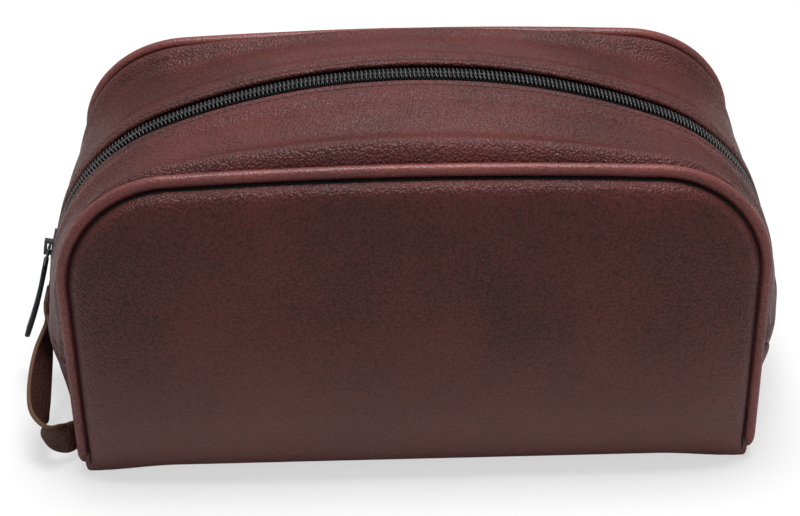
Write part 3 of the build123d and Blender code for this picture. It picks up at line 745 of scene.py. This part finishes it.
def coil_route(side, start, end):
    """Flattened spiral along the zip: y and depth go round an ellipse once per pitch."""
    turns = (end - start) / COIL_PITCH
    angle = np.linspace(0, 2 * math.pi * turns, int(turns * COIL_STEPS))
    s = start + angle / (2 * math.pi) * COIL_PITCH + side * COIL_PITCH / 4
    y = side * (1.35 + COIL_HALF_WIDTH * np.cos(angle))
    depth = 0.55 - COIL_HALF_HEIGHT * np.sin(angle * side)
    return ridge_at(s, y, depth)


for name, side in (("front", -1), ("back", 1)):
    route = coil_route(side, 3.0, ridge_length[-1] - 3.0)
    coil = add_grid(f"{name}_coil", along_route(route, FILAMENT_R, 6), COIL_NYLON, wrap=True, caps=True)
    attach(coil, "bag")
    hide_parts(f"{name}_zip_coil")
    print(coil.name, len(coil.data.polygons), "faces")

# %% [markdown]
# The hems are sewn down with bonded thread, about three millimetres to the stitch. Each stitch
# is a short bead that dives into the leather at both ends. About a fifth of them lie on the
# doubled run under the side seams.

# %% Stitches
STITCH_PITCH = 3.1
STITCH_LENGTH = 2.3
THREAD_R = 0.27
STITCH_END = 6.0
STITCH_LIFT = 0.12
BEAD_RINGS = 7
BEAD_SIDES = 6


def bead():
    """Unit stitch: a tube along X from -1 to 1 whose radius falls to nothing at its ends."""
    t = np.linspace(-1, 1, BEAD_RINGS)
    angle = np.linspace(0, 2 * math.pi, BEAD_SIDES, endpoint=False)
    radius = np.sqrt(np.maximum(1 - t ** 4, 0.02))
    grid = np.stack([np.repeat(t[:, None], BEAD_SIDES, 1), radius[:, None] * np.cos(angle),
                     radius[:, None] * np.sin(angle)], axis=-1)
    return grid.reshape(-1, 3), grid_faces(BEAD_RINGS, BEAD_SIDES, True)


def stitch_row(name, places, along, up):
    """One mesh of many stitches at the given places, each along its own direction."""
    unit, quads = bead()
    side = np.cross(up, along)
    scaled = unit * [STITCH_LENGTH / 2, THREAD_R * 1.3, THREAD_R]
    sink = -0.22 * (scaled[:, 0] / (STITCH_LENGTH / 2)) ** 2
    points = (places[:, None] + scaled[None, :, :1] * along[:, None]
              + scaled[None, :, 1:2] * side[:, None]
              + (scaled[None, :, 2:] + sink[None, :, None]) * up[:, None])
    faces = (quads[None] + np.arange(len(places))[:, None, None] * len(unit)).reshape(-1, 4)
    ends = [list(range(BEAD_SIDES))[::-1], list(range(len(unit) - BEAD_SIDES, len(unit)))]
    caps = [[i + k * len(unit) for i in end] for k in range(len(places)) for end in ends]
    return add_mesh(name, points.reshape(-1, 3), faces.tolist() + caps, THREAD)


for name, side in (("front", -1), ("back", 1)):
    count = int((ridge_length[-1] - 2 * STITCH_END) / STITCH_PITCH)
    s = STITCH_END + np.arange(count) * STITCH_PITCH
    y = np.full(count, side * (SLOT_HALF + STITCH_SET))
    flat = ridge_at(s, y, np.zeros(count))
    height = skin_height(y, flat)
    place = ridge_at(s, y, -height - STITCH_LIFT)
    ahead = ridge_at(s + 0.5, y, -height - STITCH_LIFT)
    outside = ridge_at(s, y, -height - 1.12)
    along = (ahead - place) / np.linalg.norm(ahead - place, axis=1, keepdims=True)
    up = (outside - place) / np.linalg.norm(outside - place, axis=1, keepdims=True)
    row = stitch_row(f"{name}_hem_stitches", place, along, up)
    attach(row, "bag")
    print(row.name, count, "stitches")

# %% [markdown]
# The wrist strap is a flat strip of the same leather, doubled and sewn, folded into a loop with
# both ends caught in the left side seam. Its cut edges stay raw and show a lighter brown. The
# sewn ends lie up to 4 mm inside the drawn end panel, which stands too far out there.

# %% Wrist strap
STRAP_W = 11.5
STRAP_T = 1.8
STRAP_STEPS = 260
FACE_STEPS = 15
CORNER_STEPS = 5
strap_low, strap_high = cad_box("wrist_strap")


def smooth_path(points, count):
    """Catmull-Rom curve through the points, sampled evenly in its parameter."""
    p = np.asarray(points, float)
    p = np.concatenate([[2 * p[0] - p[1]], p, [2 * p[-1] - p[-2]]])
    t = np.linspace(0, len(points) - 1, count)
    i = np.minimum(t.astype(int), len(points) - 2)
    f = (t - i)[:, None]
    a, b, c, d = p[i], p[i + 1], p[i + 2], p[i + 3]
    bend = (2 * a - 5 * b + 4 * c - d) * f ** 2
    return 0.5 * (2 * b + (c - a) * f + bend + (3 * b - a - 3 * c + d) * f ** 3)


# Each line is a point on the strap's middle and the direction of its width there.
STRAP_POINTS = [
    ((-136.2, -12.0, 46.8), (0.0, 1.0, 0.0)),
    ((-136.6, -12.0, 43.0), (0.0, 1.0, 0.0)),
    ((-136.7, -12.0, 38.1), (0.0, 1.0, 0.0)),
    ((-137.7, -15.0, 31.9), (0.12, 0.88, -0.46)),
    ((-138.9, -22.0, 26.3), (0.4, 0.5, -0.77)),
    ((-139.3, -31.0, 22.9), (0.55, 0.36, -0.75)),
    ((-139.2, -39.5, 19.9), (0.58, 0.38, -0.72)),
    ((-138.7, -45.5, 17.3), (0.45, 0.5, -0.74)),
    ((-137.0, -49.1, 14.9), (0.25, 0.4, -0.88)),
    ((-134.3, -50.3, 12.0), (0.1, 0.05, -0.99)),
    ((-130.9, -50.7, 9.8), (0.0, -0.3, -0.95)),
    ((-127.7, -49.7, 9.0), (0.0, -0.35, -0.94)),
    ((-124.8, -45.3, 9.7), (0.0, -0.1, -1.0)),
    ((-126.6, -37.0, 13.8), (0.0, 0.3, -0.95)),
    ((-131.4, -25.0, 22.1), (0.0, 0.55, -0.83)),
    ((-133.9, -15.6, 30.7), (0.0, 0.88, -0.47)),
    ((-134.7, -12.0, 38.1), (0.0, 1.0, 0.0)),
    ((-134.7, -12.0, 43.0), (0.0, 1.0, 0.0)),
    ((-134.4, -12.0, 46.8), (0.0, 1.0, 0.0)),
]


def ribbon(path, across, width, thick, edge_round=0.5):
    """Closed section of a flat strip at each point of a path: two faces and two rounded edges."""
    tangent = np.gradient(path, axis=0)
    tangent /= np.linalg.norm(tangent, axis=1, keepdims=True)
    wide = across - (across * tangent).sum(1, keepdims=True) * tangent
    wide /= np.linalg.norm(wide, axis=1, keepdims=True)
    normal = np.cross(tangent, wide)
    flat_half = width / 2 - edge_round
    face_w = np.linspace(-1, 1, FACE_STEPS) * flat_half
    corner = np.linspace(0, math.pi, CORNER_STEPS + 2)[1:-1]
    section = [(w, thick / 2) for w in face_w]
    section += [(flat_half + edge_round * math.sin(a), thick / 2 * math.cos(a)) for a in corner]
    section += [(w, -thick / 2) for w in face_w[::-1]]
    section += [(-flat_half - edge_round * math.sin(a), -thick / 2 * math.cos(a)) for a in corner]
    section = np.array(section)
    return (path[:, None] + section[None, :, :1] * wide[:, None]
            + section[None, :, 1:] * normal[:, None])


strap_path = smooth_path([point for point, width in STRAP_POINTS], STRAP_STEPS)
strap_across = smooth_path([width for point, width in STRAP_POINTS], STRAP_STEPS)
strap_section = ribbon(strap_path, strap_across, STRAP_W, STRAP_T)
strap = add_grid("wrist_strap_loop", strap_section, STRAP_LEATHER, wrap=True, caps=True)
strap.data.materials.append(RAW_EDGE)
half_ring = FACE_STEPS + CORNER_STEPS
column = np.arange(len(strap.data.polygons)) % (2 * half_ring)
is_edge = column % half_ring >= FACE_STEPS - 1
strap.data.polygons.foreach_set("material_index", is_edge.astype(np.int32))
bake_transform(strap)
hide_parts("wrist_strap", "strap_anchor")
strap_length = np.linalg.norm(np.diff(strap_path, axis=0), axis=1).sum()
print("strap is", round(strap_length), "mm long;", "CAD", strap_low.round(1), strap_high.round(1))

# %% [markdown]
# The puller is a small wire link with a black leather tab folded round it. The tab hangs a
# little away from the bag and bows inwards by 0.7 mm.

# %% Pull tab
TAB_W = 8.0
TAB_T = 1.9
TAB_LENGTH = 36.0
TAB_BOW = -0.7
tab_pivot = np.array(JOINTS["tab_swing"]["pos_m"]) / MM
TAB_TILT = math.radians(18.0)
tab_down = np.array([-math.sin(TAB_TILT), 0.0, -math.cos(TAB_TILT)])
tab_out = np.array([-math.cos(TAB_TILT), 0.0, math.sin(TAB_TILT)])


def tab_grid():
    """Flat strip with a rounded tip; it bows by TAB_BOW and tapers to the link at the top."""
    s = np.concatenate([np.linspace(-1.0, 3.0, 9, endpoint=False),
                        np.linspace(3.0, 31.0, 28, endpoint=False),
                        31.0 + 5.0 * np.sin(np.linspace(0, math.pi / 2, 14))])
    half = np.where(s < 3.0, 1.8 + (TAB_W / 2 - 1.8) * smooth(s, 0.8, 3.0), TAB_W / 2)
    half = np.where(s > 32.0, np.sqrt(np.maximum(16.0 - (s - 32.0) ** 2, 0.04)), half)
    bow = TAB_BOW * np.sin(math.pi * np.clip(s, 0, TAB_LENGTH) / TAB_LENGTH)
    thick = TAB_T * np.where(s > 34.5, 0.86, 1.0)
    path = tab_pivot + s[:, None] * tab_down + bow[:, None] * tab_out
    across = np.array([[0.0, 1.0, 0.0]])
    k = np.linspace(-1, 1, 11)
    corner = np.linspace(0, math.pi, 6)[1:-1]
    face = np.full(11, 0.5)
    t = np.concatenate([face, 0.5 * np.cos(corner), -face, -0.5 * np.cos(corner)])
    rows = []
    for i in range(len(s)):
        edge = min(0.45, half[i] * 0.5)
        w = np.concatenate([k * (half[i] - edge), half[i] - edge + edge * np.sin(corner),
                            -k * (half[i] - edge), -half[i] + edge - edge * np.sin(corner)])
        rows.append(path[i] + w[:, None] * across + (t * thick[i])[:, None] * tab_out)
    return np.array(rows)


tab = add_grid("leather_pull_tab", tab_grid(), TAB_LEATHER, wrap=True, caps=True)
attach(tab, "tab")
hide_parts("pull_tab")

# %% [markdown]
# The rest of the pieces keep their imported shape: the slider, its bridge and link, the stops and
# tapes, and what is hidden inside. Each gets the finish of its real material.

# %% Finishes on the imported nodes
FINISHES = {
    "slider_body": SLIDER_ENAMEL, "slider_bridge": SLIDER_ENAMEL, "puller_link": SLIDER_ENAMEL,
    "left_zip_stops": SLIDER_ENAMEL, "right_zip_stops": SLIDER_ENAMEL,
    "base_board": BOARD, "base_lining": NYLON,
}
for side in ("front", "back"):
    FINISHES.update({
        f"{side}_zip_tape": ZIP_TAPE, f"{side}_lining": NYLON, f"{side}_gusset_lining": NYLON,
        f"{side}_seam_binding": NYLON, f"{side}_padding": PADDING, f"{side}_piping_cord": CORD,
    })
for side in ("left", "right"):
    FINISHES[f"{side}_end_lining"] = NYLON
for node_name, finish in FINISHES.items():
    for slot in NODES[node_name].material_slots:
        slot.material = finish

# %% [markdown]
# The camera stands where the photograph was taken from: in front, 35 degrees up, about three
# quarters of a metre away, and turned by under a degree.

# %% Camera
CAM_AZIMUTH = math.radians(-0.95)
CAM_ELEVATION = math.radians(35.01)
CAM_ROLL = math.radians(0.77)
CAM_DISTANCE = 752.3
CAM_TARGET = np.array([-4.28, 0.0, 51.25])
FOCAL_PIXELS = 1990.6
PHOTO_WIDTH = 800
SENSOR_MM = 36.0

toward = np.array([math.sin(CAM_AZIMUTH) * math.cos(CAM_ELEVATION),
                   -math.cos(CAM_AZIMUTH) * math.cos(CAM_ELEVATION),
                   math.sin(CAM_ELEVATION)])
right = np.array([math.cos(CAM_AZIMUTH), math.sin(CAM_AZIMUTH), 0.0])
above = np.cross(toward, right)
cam_right = math.cos(CAM_ROLL) * right - math.sin(CAM_ROLL) * above
cam_up = math.sin(CAM_ROLL) * right + math.cos(CAM_ROLL) * above
camera_data = bpy.data.cameras.new("camera")
camera_data.lens = FOCAL_PIXELS / PHOTO_WIDTH * SENSOR_MM
camera_data.sensor_width = SENSOR_MM
camera_data.sensor_fit = "HORIZONTAL"
camera_data.clip_start = 0.01
camera = bpy.data.objects.new("camera", camera_data)
bpy.context.scene.collection.objects.link(camera)
spot = (CAM_TARGET + toward * CAM_DISTANCE) * MM
turned_rows = [[cam_right[i], cam_up[i], toward[i], spot[i]] for i in range(3)]
camera.matrix_world = Matrix(turned_rows + [[0, 0, 0, 1]])
bpy.context.scene.camera = camera

# %% [markdown]
# Soft studio light: a panel overhead and a little behind, which puts the highlights on the
# pipings, and two weak panels at the sides. The world is white to the camera and in reflections
# and a dim grey as light. The floor is a pale table, partly bright by itself for the camera.

# %% Light and floor
FLOOR_GLOW = 0.6
FLOOR_HALF = 6000
FLOOR_Z = -0.02


def area_light(name, place, target, size, power):
    """Rectangular lamp at place, turned toward target; size in metres and power in watts."""
    data = bpy.data.lights.new(name, "AREA")
    data.shape = "RECTANGLE"
    data.size, data.size_y = size
    data.energy = power
    obj = bpy.data.objects.new(name, data)
    obj.location = place
    obj.rotation_euler = (Vector(target) - Vector(place)).to_track_quat("-Z", "Y").to_euler()
    bpy.context.scene.collection.objects.link(obj)


area_light("overhead", (0.03, 0.13, 1.2), (0, 0, 0.08), (0.65, 0.4), 16.5)
area_light("left_fill", (-1.3, -0.5, 0.6), (0, 0, 0.06), (0.8, 0.8), 0.3)
area_light("right_fill", (1.3, -0.5, 0.6), (0, 0, 0.06), (0.8, 0.8), 0.3)

world = bpy.data.worlds.new("studio")
bpy.context.scene.world = world
world.use_nodes = True
tree = world.node_tree
tree.nodes.clear()
rays = node(tree, "ShaderNodeLightPath")
through = node(tree, "ShaderNodeMath", None,
               {0: rays.outputs["Is Glossy Ray"], 1: rays.outputs["Is Transmission Ray"]},
               operation="MAXIMUM")
seen = node(tree, "ShaderNodeMath", None,
            {0: rays.outputs["Is Camera Ray"], 1: through.outputs[0]}, operation="MAXIMUM")
dim = node(tree, "ShaderNodeBackground", {"Color": linear("#ffffff"), "Strength": 0.24})
white = node(tree, "ShaderNodeBackground", {"Color": linear("#ffffff"), "Strength": 1.0})
mixed = node(tree, "ShaderNodeMixShader", None,
             {0: seen.outputs[0], 1: dim.outputs[0], 2: white.outputs[0]})
node(tree, "ShaderNodeOutputWorld", links={"Surface": mixed.outputs[0]})

floor_material, tree, shader = new_material("pale_table")
shader.inputs["Base Color"].default_value = linear("#f4f4f4")
shader.inputs["Roughness"].default_value = 0.8
floor_rays = node(tree, "ShaderNodeLightPath")
shown = node(tree, "ShaderNodeMath", {1: FLOOR_GLOW}, {0: floor_rays.outputs["Is Camera Ray"]},
             operation="MULTIPLY")
backdrop = node(tree, "ShaderNodeEmission", {"Color": linear("#ffffff"), "Strength": 1.0})
both = node(tree, "ShaderNodeMixShader", None,
            {0: shown.outputs[0], 1: shader.outputs["BSDF"], 2: backdrop.outputs[0]})
output = [each for each in tree.nodes if each.bl_idname == "ShaderNodeOutputMaterial"][0]
tree.links.new(both.outputs[0], output.inputs["Surface"])
corners = [(-1, -1), (1, -1), (1, 1), (-1, 1)]
floor = add_mesh("floor", [(x * FLOOR_HALF, y * FLOOR_HALF, FLOOR_Z) for x, y in corners],
                 [(0, 1, 2, 3)], floor_material)

bpy.context.scene.view_settings.view_transform = "Standard"
